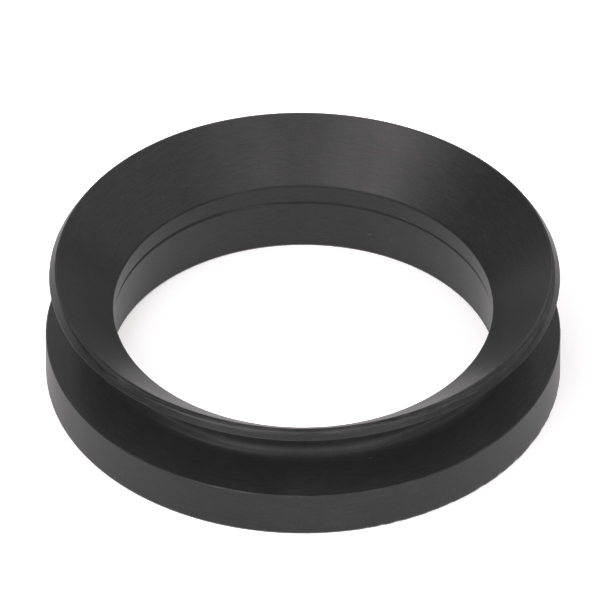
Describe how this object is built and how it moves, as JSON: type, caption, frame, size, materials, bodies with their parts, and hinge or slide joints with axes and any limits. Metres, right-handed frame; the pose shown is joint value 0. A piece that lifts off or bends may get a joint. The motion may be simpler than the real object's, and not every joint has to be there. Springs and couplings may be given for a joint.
{
  "type": "v-ring seal",
  "caption": "Black rubber V-ring: a straight-backed elastic body with a gripping bore, a V groove and a flared conical lip that seals axially against a flat counterface.",
  "frame": {"origin": "on the shaft axis, in the plane of the flat back face that the ring lies on", "axes": "+Z along the shaft axis from the back face towards the lip; the section is the same all round, so X and Y are free"},
  "size_m": [0.033, 0.033, 0.0083],
  "materials": {
    "rubber": "satin-matte moulded black nitrile rubber"
  },
  "bodies": {
    "root": {"v_ring": "rubber"}
  },
  "joints": []
}
